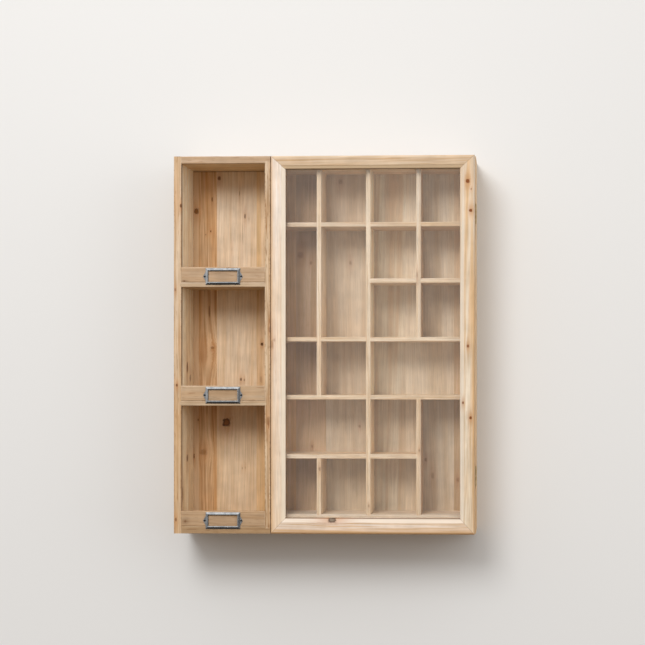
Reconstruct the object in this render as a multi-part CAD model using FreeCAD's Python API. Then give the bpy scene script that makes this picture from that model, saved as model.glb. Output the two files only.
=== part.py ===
import FreeCAD, Part
import math
import os

# Fir wall cabinet: an open column of three cubbies on the left, and on the right a glazed door
# over a grid of thin dividers. Millimetres. While it is built, X runs from the left face of the case,
# Y from the wall towards the room as negative values, and Z from the underside of the case.
# The finished pieces are moved so that the origin lies midway between the two hanging holes, on the wall.

Vec = FreeCAD.Vector
x_axis = Vec(1, 0, 0)
y_axis = Vec(0, 1, 0)
z_axis = Vec(0, 0, 1)

# Case
case_width = 496.5
case_height = 620.0
case_depth = 110.0
side_thick = 12.5
top_thick = 12.0
bottom_thick = 12.0
partition_thick = 9.0
partition_housing = 3.0
column_clear = 138.0
arris = 1.0

# Back of edge-glued staves, with a hanging rail behind it
back_thick = 6.0
back_groove = 4.0
rail_thick = 10.0
rail_height = 60.0
stave_joint_shares = (0.093, 0.235, 0.377, 0.483, 0.658, 0.766, 0.937)

# Column shelves and the lips along their front edges
shelf_thick = 8.0
shelf_dado = 2.5
upper_shelf_share = 0.6594
lower_shelf_share = 0.3322
lip_height = 25.0
lip_thick = 10.0
lip_arris = 1.2

# Dowels that hold the top and bottom boards between the sides
dowel_r = 3.0
dowel_in_side = 8.0
dowel_in_board = 18.0
dowel_inset = 15.0

# Door frame
door_thick = 18.0
door_proud = 1.5
door_gap = 0.7
door_reveal = 1.5
stile_width = 24.0
top_rail_width = 21.5
bottom_rail_width = 26.0
door_round_depth = 4.0
door_quirk_depth = 0.6
door_bevel_depth = 5.5
rebate_front = 11.0
door_round_share = 0.19
door_bevel_share = 0.74
rebate_share = 0.75
round_middle_share = 0.293

# Glass and the beads that hold it
glass_thick = 3.0
glass_clear = 0.6
bead_chamfer = 1.5
bead_inner_share = 0.97

# Grid of dividers behind the door
grid_setback = 0.5
cell_thick = 7.4
cell_dado = 2.5
cell_stub = 1.5
cell_arris = 0.6
bearer_height = 11.2
bearer_width = 16.0
divider_shares = (0.229, 0.4804, 0.7361)
cell_level_shares = (0.8454, 0.6826, 0.5133, 0.3454, 0.1744)
half_share = 0.5

# Hinges in the gap behind the door
hinge_gap = 2.0
hinge_inset = 95.0
hinge_length = 32.0
hinge_middle = 10.0
leaf_width = 9.0
leaf_thick = 0.9
knuckle_r = 1.6
knuckle_clear = 0.3
hinge_pin_r = 0.8
hinge_bore_clear = 0.05
knuckle_end_clear = 0.15
axis_inset = 0.5
hinge_screw_row = 5.4
hinge_screw_rise = 11.0
hinge_screw_r = 1.0
hinge_screw_head_r = 1.9
hinge_screw_length = 10.0

# Magnetic catch near the free edge of the door
magnet_r = 3.5
magnet_length = 12.0
magnet_proud = 0.6
catch_inset = 15.0
strike_r = 5.0
strike_thick = 1.0
strike_spike_r = 1.2
strike_spike = 8.0

# Label holders on the lips
label_width = 57.2
label_height = 27.2
label_drop = 3.0
label_bar = 4.8
label_edge = 0.8
label_shoulder = 2.4
label_inner = 1.3
card_slot = 0.6
card_slot_share = 0.3
label_slope_share = 0.5
ear_thick = 0.8
ear_base = 15.0
ear_tip_r = 2.2
pin_offset = 1.7
pin_r = 0.7
pin_length = 8.0
pin_head_r = 1.6
pin_head_height = 1.1
pin_hole_clear = 0.1

# Keyhole hangers let into the hanging rail
hanger_spacing = 300.0
hanger_width = 18.0
hanger_height = 52.0
hanger_thick = 1.8
hanger_drop = 40.0
hanger_entry_r = 5.0
hanger_slot_r = 2.4
hanger_slot_rise = 11.0
hanger_pocket_r = 6.5
hanger_pocket_depth = 5.5
hanger_screw_inset = 6.0
hanger_screw_r = 1.3
hanger_screw_head_r = 2.6
hanger_screw_length = 8.0

# Working values for cuts and for finding edges
overrun = 2.0
touch = 0.001

# Planes and lines that several pieces share
front = -case_depth
back_rear = -rail_thick
back_front = back_rear - back_thick
column_left = side_thick
column_right = column_left + column_clear
bay_left = column_right + partition_thick
bay_right = case_width - side_thick
under_top = case_height - top_thick
door_left = bay_left + door_gap
door_right = case_width - door_reveal
door_front = front - door_proud
door_back = door_front + door_thick
bay_front = door_back + hinge_gap
grid_front = bay_front + grid_setback
grid_middle = grid_front + (back_front - grid_front) * half_share
floor_top = bottom_thick + bearer_height + cell_thick
ceiling = under_top - cell_thick
axis_x = case_width - axis_inset
axis_y = door_back + hinge_gap * half_share
hang_x = case_width * half_share
hang_z = under_top - hanger_drop
label_x = column_left + column_clear * half_share
hinge_levels = {"upper": case_height - hinge_inset, "lower": hinge_inset}
board_middles = (bottom_thick * half_share, case_height - top_thick * half_share)
cell_numbers = range(1, len(cell_level_shares) + 1)


def box(x0, x1, y0, y1, z0, z1):
    return Part.makeBox(x1 - x0, y1 - y0, z1 - z0, Vec(x0, y0, z0))


def rod(radius, start, direction, length):
    return Part.makeCylinder(radius, length, start, direction)


def prism(points, direction):
    # a closed outline of straight sides, pushed along a direction
    return Part.Face(Part.makePolygon(points + points[:1])).extrude(direction)


def edges_on(shape, y, run_axis):
    # the edges that lie in one plane square to Y and run along one axis
    found = []
    for edge in shape.Edges:
        first = edge.Vertexes[0].Point
        last = edge.Vertexes[-1].Point
        in_plane = abs(first.y - y) < touch and abs(last.y - y) < touch
        if in_plane and abs((last - first).dot(run_axis)) > touch:
            found.append(edge)
    return found


def eased(shape, y, run_axis, radius):
    return shape.makeFillet(radius, edges_on(shape, y, run_axis))


def cut_by(shape, tools):
    return shape.cut(tools) if tools else shape


def screw(radius, head_r, length, seat, direction):
    # countersunk head flush with its seat, on a straight shank
    head_depth = head_r - radius
    head = Part.makeCone(head_r, radius, head_depth, seat, direction)
    shank = rod(radius, seat + direction * head_depth, direction, length - head_depth)
    return head.fuse(shank)


def mitred_frame(x0, x1, z0, z1, widths, profile, depth):
    # four members cut along the lines from the outer corners to the inner corners
    # profile gives a member's edges across and through it, and depth turns through into a place along Y
    left, right, bottom, top = widths
    corners = {
        "outer": [Vec(x0, 0, z0), Vec(x1, 0, z0), Vec(x1, 0, z1), Vec(x0, 0, z1)],
        "inner": [Vec(x0 + left, 0, z0 + bottom), Vec(x1 - right, 0, z0 + bottom),
                  Vec(x1 - right, 0, z1 - top), Vec(x0 + left, 0, z1 - top)],
    }
    sides = {
        "bottom": (0, 1, bottom, lambda u, v: Vec(x0, depth(v), z0 + u), x_axis * (x1 - x0)),
        "right": (1, 2, right, lambda u, v: Vec(x1 - u, depth(v), z0), z_axis * (z1 - z0)),
        "top": (2, 3, top, lambda u, v: Vec(x0, depth(v), z1 - u), x_axis * (x1 - x0)),
        "left": (3, 0, left, lambda u, v: Vec(x0 + u, depth(v), z0), z_axis * (z1 - z0)),
    }
    members = {}
    for name, (first, second, width, place, run) in sides.items():
        section = Part.Face(Part.Wire(profile(width, place)))
        bar = section.extrude(run)
        low = min(v.Point.y for v in bar.Vertexes) - overrun
        high = max(v.Point.y for v in bar.Vertexes) + overrun
        outline = [corners["outer"][first], corners["outer"][second],
                   corners["inner"][second], corners["inner"][first]]
        wedge = prism([p + y_axis * low for p in outline], y_axis * (high - low))
        members[name] = bar.common(wedge)
    return members


def line(a, b):
    return Part.LineSegment(a, b).toShape()


def polyline(points):
    return [line(a, b) for a, b in zip(points, points[1:])]


def door_profile(width, place):
    # rounded outer edge, flat face, fine quirk, inner bevel and the rebate for the glass
    round_width = door_round_share * width
    round_over = Part.Arc(
        place(0, door_round_depth),
        place(round_width * round_middle_share, door_round_depth * round_middle_share),
        place(round_width, 0),
    )
    path = [
        place(round_width, 0),
        place(door_bevel_share * width, 0),
        place(door_bevel_share * width, door_quirk_depth),
        place(width, door_bevel_depth),
        place(width, rebate_front),
        place(rebate_share * width, rebate_front),
        place(rebate_share * width, door_thick),
        place(0, door_thick),
        place(0, door_round_depth),
    ]
    return [round_over.toShape()] + polyline(path)


def bead_profile(width, place):
    bead_front = rebate_front + glass_thick
    return polyline([
        place(0, bead_front),
        place(width, bead_front),
        place(width, door_thick - bead_chamfer),
        place(width - bead_chamfer, door_thick),
        place(0, door_thick),
        place(0, bead_front),
    ])


def label_profile(width, place):
    # a pressed bar: low outer edge, slope, round bead tangent to it, and a slot behind for the card
    slope_end = label_slope_share * width
    across = width - slope_end
    drop = label_inner - label_shoulder
    chord_angle = math.atan2(drop, across)
    half_turn = math.atan2(label_shoulder - label_edge, slope_end) - chord_angle
    rise = math.hypot(across, drop) * half_share * math.tan(half_turn * half_share)
    bead_top = place(
        slope_end + across * half_share - rise * math.sin(chord_angle),
        label_shoulder + drop * half_share + rise * math.cos(chord_angle),
    )
    bead = Part.Arc(place(slope_end, label_shoulder), bead_top, place(width, label_inner))
    path = [
        place(width, label_inner),
        place(width, card_slot),
        place(card_slot_share * width, card_slot),
        place(card_slot_share * width, 0),
        place(0, 0),
        place(0, label_edge),
        place(slope_end, label_shoulder),
    ]
    return [bead.toShape()] + polyline(path)


def door_depth(through):
    return door_front + through


def label_depth(through):
    return front - through


def make_door_frame():
    widths = (stile_width, stile_width, bottom_rail_width, top_rail_width)
    return mitred_frame(door_left, door_right, 0, case_height, widths, door_profile, door_depth)


def make_glass():
    return box(
        door_left + rebate_share * stile_width + glass_clear,
        door_right - rebate_share * stile_width - glass_clear,
        door_front + rebate_front,
        door_front + rebate_front + glass_thick,
        rebate_share * bottom_rail_width + glass_clear,
        case_height - rebate_share * top_rail_width - glass_clear,
    )


def make_beads():
    bead_share = bead_inner_share - rebate_share
    member_widths = (stile_width, stile_width, bottom_rail_width, top_rail_width)
    return mitred_frame(
        door_left + rebate_share * stile_width,
        door_right - rebate_share * stile_width,
        rebate_share * bottom_rail_width,
        case_height - rebate_share * top_rail_width,
        [bead_share * width for width in member_widths],
        bead_profile,
        door_depth,
    )


def make_hinge(level):
    # two leaves with interleaved knuckles on one pin, all in the gap behind the door
    low = level - hinge_length * half_share
    middle_low = level - hinge_middle * half_share
    reach = knuckle_r + knuckle_clear
    centre = Vec(axis_x, axis_y, low)
    barrel = rod(knuckle_r, centre, z_axis, hinge_length)
    around = rod(reach, centre - z_axis * overrun, z_axis, hinge_length + overrun + overrun)
    middle = box(axis_x - reach, axis_x + reach, axis_y - reach, axis_y + reach,
                 middle_low, middle_low + hinge_middle)
    middle_room = box(axis_x - reach, axis_x + reach, axis_y - reach, axis_y + reach,
                      middle_low - knuckle_end_clear, middle_low + hinge_middle + knuckle_end_clear)
    case_plate = box(axis_x - leaf_width, axis_x, bay_front - leaf_thick, bay_front, low, low + hinge_length)
    door_plate = box(axis_x - leaf_width, axis_x, door_back, door_back + leaf_thick, low, low + hinge_length)
    bore = rod(hinge_pin_r, centre, z_axis, hinge_length)
    loose_bore = rod(hinge_pin_r + hinge_bore_clear, centre, z_axis, hinge_length)
    case_leaf = case_plate.fuse(barrel).cut([middle_room, bore])
    door_leaf = door_plate.cut(around.cut(middle)).fuse(barrel.common(middle)).cut(loose_bore)
    pin = rod(hinge_pin_r, centre, z_axis, hinge_length)
    screws = {"case": [], "door": []}
    for rise in (-hinge_screw_rise, hinge_screw_rise):
        at = Vec(axis_x - hinge_screw_row, 0, level + rise)
        sizes = (hinge_screw_r, hinge_screw_head_r, hinge_screw_length)
        screws["case"].append(screw(*sizes, at + y_axis * (bay_front - leaf_thick), y_axis))
        screws["door"].append(screw(*sizes, at + y_axis * (door_back + leaf_thick), -y_axis))
    return {
        "case_leaf": case_leaf.cut(screws["case"]).removeSplitter(),
        "door_leaf": door_leaf.cut(screws["door"]).removeSplitter(),
        "pin": pin,
        "case_screws": screws["case"],
        "door_screws": screws["door"],
        "room": around,
    }


def make_catch(level):
    # a round magnet in the edge of the case, and a steel strike driven into the back of the door
    at = Vec(door_left + catch_inset, 0, level)
    magnet = rod(magnet_r, at + y_axis * (bay_front - magnet_proud), y_axis, magnet_length)
    disc = rod(strike_r, at + y_axis * door_back, y_axis, strike_thick)
    spike = rod(strike_spike_r, at + y_axis * door_back, -y_axis, strike_spike)
    return magnet, disc.fuse(spike).removeSplitter()


def make_pin(x, z):
    # round-headed pin through an ear of a label holder into the lip
    seat = Vec(x, front - ear_thick, z)
    ball_r = (pin_head_r ** 2 + pin_head_height ** 2) / (pin_head_height + pin_head_height)
    ball = Part.makeSphere(ball_r, seat + y_axis * (ball_r - pin_head_height))
    head = ball.common(rod(pin_head_r, seat, -y_axis, pin_head_height))
    shank = rod(pin_r, seat, y_axis, pin_length)
    return head.fuse(shank).removeSplitter()


def make_ear(side_x, z, outward):
    # a triangle with a round tip, tangent to its two sloping edges
    base_half = ear_base * half_share
    reach = math.hypot(pin_offset, base_half)
    turn = math.atan2(base_half, pin_offset) + math.acos(ear_tip_r / reach)
    tip_x = side_x + outward * pin_offset
    near = front
    start = Vec(side_x, near, z + base_half)
    end = Vec(side_x, near, z - base_half)
    rise = ear_tip_r * math.sin(turn)
    along = -outward * ear_tip_r * math.cos(turn)
    upper = Vec(tip_x + along, near, z + rise)
    lower = Vec(tip_x + along, near, z - rise)
    tip = Vec(tip_x + outward * ear_tip_r, near, z)
    inner = x_axis * (-outward * label_bar * card_slot_share)
    outline = [line(start, upper), Part.Arc(upper, tip, lower).toShape(), line(lower, end)]
    outline += polyline([end, end + inner, start + inner, start])
    hole = rod(pin_r + pin_hole_clear, Vec(tip_x, near + overrun, z), -y_axis, ear_thick + overrun + overrun)
    return Part.Face(Part.Wire(outline)).extrude(-y_axis * ear_thick).cut(hole)


def make_label_holder(z):
    x0 = label_x - label_width * half_share
    x1 = label_x + label_width * half_share
    z0 = z - label_height * half_share
    z1 = z + label_height * half_share
    bars = mitred_frame(x0, x1, z0, z1, [label_bar] * 4, label_profile, label_depth)
    pieces = list(bars.values()) + [make_ear(x0, z, -1), make_ear(x1, z, 1)]
    pins = [make_pin(x0 - pin_offset, z), make_pin(x1 + pin_offset, z)]
    return pieces[0].fuse(pieces[1:]).removeSplitter(), pins


def make_hanger(x):
    # a plate with a hole for the head of the wall screw and a slot above it for the shank
    low = hang_z + hanger_slot_rise * half_share - hanger_height * half_share
    corner_r = hanger_width * half_share
    ends = [Vec(x, 0, low + corner_r), Vec(x, 0, low + hanger_height - corner_r)]
    plate = box(x - corner_r, x + corner_r, -hanger_thick, 0, ends[0].z, ends[1].z)
    plate = plate.fuse([rod(corner_r, end, -y_axis, hanger_thick) for end in ends]).removeSplitter()
    seats = [Vec(x, 0, low + hanger_screw_inset), Vec(x, 0, low + hanger_height - hanger_screw_inset)]
    screws = [screw(hanger_screw_r, hanger_screw_head_r, hanger_screw_length, seat, -y_axis) for seat in seats]
    hole = Vec(x, overrun, hang_z)
    through = hanger_thick + overrun + overrun
    rise = z_axis * hanger_slot_rise
    slot = box(x - hanger_slot_r, x + hanger_slot_r, -hanger_thick - overrun, overrun, hang_z,
               hang_z + hanger_slot_rise)
    keyhole = [
        rod(hanger_entry_r, hole, -y_axis, through),
        rod(hanger_slot_r, hole + rise, -y_axis, through),
        slot,
    ]
    floor = Vec(x, -hanger_thick, hang_z)
    pocket = rod(hanger_pocket_r, floor, -y_axis, hanger_pocket_depth).fuse([
        rod(hanger_pocket_r, floor + rise, -y_axis, hanger_pocket_depth),
        box(x - hanger_pocket_r, x + hanger_pocket_r, -hanger_thick - hanger_pocket_depth, -hanger_thick,
            hang_z, hang_z + hanger_slot_rise),
    ])
    return plate.cut(keyhole + screws), screws, [plate, pocket]


def make_staves():
    left = column_left - back_groove
    right = bay_right + back_groove
    joints = [left + (right - left) * share for share in stave_joint_shares]
    places = [left] + joints + [right]
    return [box(a, b, back_front, back_rear, bottom_thick - back_groove, under_top + back_groove)
            for a, b in zip(places, places[1:])]


def make_partition():
    blank = box(column_right, bay_left, front, back_front,
                bottom_thick - partition_housing, under_top + partition_housing)
    return eased(blank, front, z_axis, arris)


def make_flat_board(low, thick):
    # top or bottom board: full depth over the column, stepped back to the plane behind the door
    outline = [
        Vec(column_left, front, low),
        Vec(bay_left, front, low),
        Vec(bay_left, bay_front, low),
        Vec(bay_right, bay_front, low),
        Vec(bay_right, 0, low),
        Vec(column_left, 0, low),
    ]
    return eased(prism(outline, z_axis * thick), front, x_axis, arris)


def make_dowels():
    dowels = []
    length = dowel_in_side + dowel_in_board
    for z in board_middles:
        for y in (bay_front + dowel_inset, back_front - dowel_inset):
            dowels.append(rod(dowel_r, Vec(column_left - dowel_in_side, y, z), x_axis, length))
            dowels.append(rod(dowel_r, Vec(bay_right + dowel_in_side, y, z), -x_axis, length))
    return dowels


def make_column_shelf(level):
    blank = box(column_left - shelf_dado, column_right + shelf_dado, front, back_front,
                level, level + shelf_thick)
    return eased(blank, front, x_axis, arris)


def make_lip(level):
    blank = box(column_left, column_right, front, front + lip_thick, level, level + lip_height)
    return eased(blank, front, x_axis, lip_arris)


def divider_left(name):
    # left face of a column of dividers, named a, b and c from the left
    return bay_left + divider_shares["abc".index(name)] * (bay_right - bay_left)


def cell_level(number):
    # top face of a cell shelf, numbered from the top
    return floor_top + cell_level_shares[cell_numbers.index(number)] * (ceiling - floor_top)


def make_divider(name, low, high, crossings):
    # a vertical, slotted from behind where a shelf crosses it
    left = divider_left(name)
    right = left + cell_thick
    blank = eased(box(left, right, grid_front, back_front, low, high), grid_front, z_axis, cell_arris)
    slots = [box(left - overrun, right + overrun, grid_middle, back_front + overrun,
                 cell_level(n) - cell_thick, cell_level(n)) for n in crossings]
    return cut_by(blank, slots)


def make_cell_shelf(number, left, right, crossings):
    # a horizontal, slotted from the front where a divider crosses it
    top = cell_level(number)
    blank = eased(box(left, right, grid_front, back_front, top - cell_thick, top),
                  grid_front, x_axis, cell_arris)
    slots = [box(divider_left(n), divider_left(n) + cell_thick, grid_front - overrun, grid_middle,
                 top - cell_thick - overrun, top + overrun) for n in crossings]
    return cut_by(blank, slots)


def make_grid():
    wall_left = bay_left - cell_dado
    wall_right = bay_right + cell_dado
    under = {n: cell_level(n) - cell_thick for n in cell_numbers}
    top_end = ceiling + cell_stub
    foot = floor_top - cell_stub
    pieces = {
        "divider_a_upper": make_divider("a", cell_level(4) - cell_stub, top_end, (1, 3)),
        "divider_a_lower": make_divider("a", foot, under[5] + cell_stub, ()),
        "divider_b": make_divider("b", foot, top_end, (1, 3, 4, 5)),
        "divider_c_upper": make_divider("c", cell_level(3) - cell_stub, top_end, (1, 2)),
        "divider_c_lower": make_divider("c", foot, under[4] + cell_stub, ()),
        "cell_shelf_1": make_cell_shelf(1, wall_left, wall_right, ("a", "b", "c")),
        "cell_shelf_2": make_cell_shelf(2, divider_left("b") + cell_thick - cell_stub, wall_right, ("c",)),
        "cell_shelf_3": make_cell_shelf(3, wall_left, wall_right, ("a", "b")),
        "cell_shelf_4": make_cell_shelf(4, wall_left, wall_right, ("b",)),
        "cell_shelf_5": make_cell_shelf(5, wall_left, divider_left("c") + cell_stub, ("b",)),
        "grid_top": box(bay_left, bay_right, grid_front, back_front, ceiling, under_top),
        "grid_bottom": box(bay_left, bay_right, grid_front, back_front, floor_top - cell_thick, floor_top),
    }
    # stub housings: a board that ends on another stands in a shallow trench
    stubs = {
        "grid_top": ("divider_a_upper", "divider_b", "divider_c_upper"),
        "grid_bottom": ("divider_a_lower", "divider_b", "divider_c_lower"),
        "cell_shelf_3": ("divider_c_upper",),
        "cell_shelf_4": ("divider_a_upper", "divider_c_lower"),
        "cell_shelf_5": ("divider_a_lower",),
        "divider_b": ("cell_shelf_2",),
        "divider_c_lower": ("cell_shelf_5",),
    }
    plain = dict(pieces)
    for name, ends in stubs.items():
        pieces[name] = pieces[name].cut([plain[end] for end in ends])
    return pieces


# Pieces that others are cut to fit
staves = make_staves()
shelf_levels = {
    "upper": bottom_thick + upper_shelf_share * (under_top - bottom_thick),
    "lower": bottom_thick + lower_shelf_share * (under_top - bottom_thick),
}
shelves = {name: make_column_shelf(level) for name, level in shelf_levels.items()}
grid = make_grid()
hinges = {name: make_hinge(level) for name, level in hinge_levels.items()}
catches = [make_catch(level) for level in board_middles]
magnets = [magnet for magnet, strike in catches]
strikes = [strike for magnet, strike in catches]
dowels = make_dowels()
hangers = {
    "left": make_hanger(hang_x - hanger_spacing * half_share),
    "right": make_hanger(hang_x + hanger_spacing * half_share),
}
partition = make_partition()
housed_in_bay = [grid["cell_shelf_%d" % n] for n in cell_numbers]

nodes = {}

# Case
left_blank = box(0, side_thick, front, 0, 0, case_height)
nodes["left_side"] = eased(left_blank, front, z_axis, arris).cut(list(shelves.values()) + staves[:1] + dowels)
right_blank = box(bay_right, case_width, bay_front, 0, 0, case_height)
nodes["right_side"] = eased(right_blank, bay_front, z_axis, arris).cut(
    housed_in_bay + staves[-1:] + dowels
    + [hinge["room"] for hinge in hinges.values()]
    + [fastener for hinge in hinges.values() for fastener in hinge["case_screws"]]
)
nodes["partition"] = partition.cut(list(shelves.values()) + housed_in_bay)
for name, low, thick in (("top_board", under_top, top_thick), ("bottom_board", 0, bottom_thick)):
    nodes[name] = make_flat_board(low, thick).cut([partition] + staves + dowels + magnets)
nodes["case_dowels"] = Part.makeCompound(dowels)
for number, stave in enumerate(staves, start=1):
    nodes["back_stave_%d" % number] = stave

# Hanging rail and hangers
rail = box(column_left, bay_right, back_rear, 0, under_top - rail_height, under_top)
hanger_screws = [fastener for plate, screws, rooms in hangers.values() for fastener in screws]
hanger_rooms = [room for plate, screws, rooms in hangers.values() for room in rooms]
nodes["hanging_rail"] = rail.cut(hanger_rooms + hanger_screws)
for name, (plate, screws, rooms) in hangers.items():
    nodes["hanger_" + name] = plate
nodes["hanger_screws"] = Part.makeCompound(hanger_screws)

# Column shelves, lips and label holders
lip_levels = {
    "upper": shelf_levels["upper"] + shelf_thick,
    "middle": shelf_levels["lower"] + shelf_thick,
    "lower": bottom_thick,
}
label_pins = []
for name, shelf in shelves.items():
    nodes["shelf_" + name] = shelf
for name, level in lip_levels.items():
    holder, pins = make_label_holder(level + lip_height * half_share - label_drop)
    nodes["lip_" + name] = make_lip(level).cut(pins)
    nodes["label_holder_" + name] = holder
    label_pins += pins
nodes["label_pins"] = Part.makeCompound(label_pins)

# Grid, on two bearers
nodes.update(grid)
bearer_top = floor_top - cell_thick
nodes["grid_bearer_front"] = box(bay_left, bay_right, grid_front, grid_front + bearer_width,
                                 bottom_thick, bearer_top)
nodes["grid_bearer_rear"] = box(bay_left, bay_right, back_front - bearer_width, back_front,
                                bottom_thick, bearer_top)

# Hinges and catch
for name, hinge in hinges.items():
    nodes["hinge_%s_case_leaf" % name] = hinge["case_leaf"]
    nodes["hinge_%s_door_leaf" % name] = hinge["door_leaf"]
nodes["hinge_pins"] = Part.makeCompound([hinge["pin"] for hinge in hinges.values()])
for side in ("case", "door"):
    fasteners = [fastener for hinge in hinges.values() for fastener in hinge[side + "_screws"]]
    nodes["hinge_%s_screws" % side] = Part.makeCompound(fasteners)
nodes["catch_magnets"] = Part.makeCompound(magnets)
nodes["catch_strikes"] = Part.makeCompound(strikes)

# Door
door = make_door_frame()
door_fasteners = [fastener for hinge in hinges.values() for fastener in hinge["door_screws"]]
hinge_rooms = [hinge["room"] for hinge in hinges.values()]
nodes["door_stile_left"] = door["left"].cut(strikes)
nodes["door_stile_right"] = door["right"].cut(hinge_rooms + door_fasteners)
nodes["door_rail_top"] = door["top"].cut(strikes)
nodes["door_rail_bottom"] = door["bottom"].cut(strikes)
nodes["door_glass"] = make_glass()
for name, bead in make_beads().items():
    nodes["bead_" + name] = bead

os.makedirs("parts", exist_ok=True)
to_origin = Vec(-hang_x, 0, -hang_z)
for name, shape in nodes.items():
    shape = shape.copy()
    shape.translate(to_origin)
    shape.exportStep("parts/%s.step" % name)
    if not shape.isValid():
        print("not valid", name)
print("nodes", len(nodes))
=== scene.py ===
import bpy
import math
from functools import partial
from mathutils import Euler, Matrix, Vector


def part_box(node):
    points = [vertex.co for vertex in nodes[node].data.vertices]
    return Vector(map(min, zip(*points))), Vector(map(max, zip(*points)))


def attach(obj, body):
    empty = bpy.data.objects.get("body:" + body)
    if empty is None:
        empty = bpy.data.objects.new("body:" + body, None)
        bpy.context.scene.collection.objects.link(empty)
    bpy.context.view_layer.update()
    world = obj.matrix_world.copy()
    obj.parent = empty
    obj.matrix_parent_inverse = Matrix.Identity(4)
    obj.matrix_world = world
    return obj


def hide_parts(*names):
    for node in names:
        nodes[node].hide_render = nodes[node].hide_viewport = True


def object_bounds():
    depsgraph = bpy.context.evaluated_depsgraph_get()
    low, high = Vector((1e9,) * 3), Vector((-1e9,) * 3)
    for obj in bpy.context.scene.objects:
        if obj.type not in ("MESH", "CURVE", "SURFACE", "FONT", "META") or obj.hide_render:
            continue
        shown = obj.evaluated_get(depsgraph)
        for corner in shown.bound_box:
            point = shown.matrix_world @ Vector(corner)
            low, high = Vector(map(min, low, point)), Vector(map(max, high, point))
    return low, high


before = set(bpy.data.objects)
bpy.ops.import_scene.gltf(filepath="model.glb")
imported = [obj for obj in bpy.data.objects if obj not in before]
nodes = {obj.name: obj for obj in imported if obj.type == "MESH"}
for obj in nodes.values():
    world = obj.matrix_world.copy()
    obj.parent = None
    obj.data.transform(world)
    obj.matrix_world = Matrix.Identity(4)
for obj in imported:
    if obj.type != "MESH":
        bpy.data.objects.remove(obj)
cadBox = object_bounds()
scene = bpy.context.scene
mm = 0.001
print("frame loaded:", len(nodes), "nodes")


def linear(hexColour):
    # sRGB hex to linear RGBA
    parts = [int(hexColour[i:i + 2], 16) / 255 for i in (1, 3, 5)]
    return [p / 12.92 if p <= 0.04045 else ((p + 0.055) / 1.055) ** 2.4 for p in parts] + [1.0]


# node kinds and settings that come up again and again
plainMath = "ShaderNodeMath"
vectorMath = "ShaderNodeVectorMath"
mapRange = "ShaderNodeMapRange"
noiseTexture = "ShaderNodeTexNoise"
mixNode = "ShaderNodeMix"
splitAxes = "ShaderNodeSeparateXYZ"
joinAxes = "ShaderNodeCombineXYZ"
moveMesh = "GeometryNodeTransform"
principled = "ShaderNodeBsdfPrincipled"
surfaceOut = "ShaderNodeOutputMaterial"
groupOut = "NodeGroupOutput"
smooth = {"interpolation_type": "SMOOTHSTEP"}
ofColour = {"data_type": "RGBA"}


def addNode(tree, kind, settings=None, links=None):
    # a setting of one word is the node's operation; From and To are both ends of a range;
    # a link is a socket, a node (its first live output), a list of nodes or a plain value
    node = tree.nodes.new(kind)
    if isinstance(settings, str):
        settings = {"operation": settings}
    for name, value in (settings or {}).items():
        setattr(node, name, value)
    wanted = dict(links or {})
    for name in ("From", "To"):
        if name in wanted:
            wanted[name + " Min"], wanted[name + " Max"] = wanted.pop(name)
    for name, value in wanted.items():
        if isinstance(name, str):
            socket = next(s for s in node.inputs if s.name == name and s.enabled)
        else:
            socket = node.inputs[name]
        for source in value if isinstance(value, list) else [value]:
            if isinstance(source, bpy.types.Node):
                source = next(s for s in source.outputs if s.enabled)
            if isinstance(source, bpy.types.NodeSocket):
                tree.links.new(source, socket)
            else:
                socket.default_value = value
    return node


def newGroup(name, kind, inputs, outputs):
    # a node group with named sockets, the function that adds a node to it, and what it is given
    tree = bpy.data.node_groups.new(name, kind)
    for side, sockets in (("INPUT", inputs), ("OUTPUT", outputs)):
        for label, holds in sockets.items():
            tree.interface.new_socket(name=label, in_out=side, socket_type="NodeSocket" + holds)
    add = partial(addNode, tree)
    return tree, add, add("NodeGroupInput").outputs


def newMaterial(name):
    # an empty material and the function that adds a node to it
    material = bpy.data.materials.new(name)
    material.use_nodes = True
    material.node_tree.nodes.clear()
    return material, partial(addNode, material.node_tree)


def dress(name, material):
    # a CAD node keeps its mesh and place, and gets this finish
    nodes[name].data.materials.clear()
    nodes[name].data.materials.append(material)


# Planed fir under a thin matt oil: year rings and streaks along the grain, a soft uneven sheen.
# Real fibres are finer than a pixel, so they are drawn about as coarse as a pixel to show at all.
firGrain = {
    # patches of noise, mm across and along the grain
    "warp": (46.0, 360.0),
    "band": (12.0, 420.0),
    "streak": (3.2, 110.0),
    "fade": (7.0, 90.0),
    "fibre": (1.7, 46.0),
    "slit": (1.5, 20.0),
    "blotch": 26.0,
    # the noise at which a patch sets in, and at which it is full
    "bandRange": (0.4, 0.66),
    "streakRange": (0.36, 0.7),
    "fadeRange": (0.36, 0.64),
    "slitRange": (0.62, 0.74),
    "warpReach": 8.0,  # mm that the rings wander
    "lateStart": 0.55,  # share of a ring where late wood sets in
    "latePeak": 0.9,
    "weakest": 0.2,  # what is left of the faintest line
    "slitTint": (0.76, 0.62, 0.48),
    "shadeRange": (0.6, 1.4),
    "shade": (0.84, 1.16),
}


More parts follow.
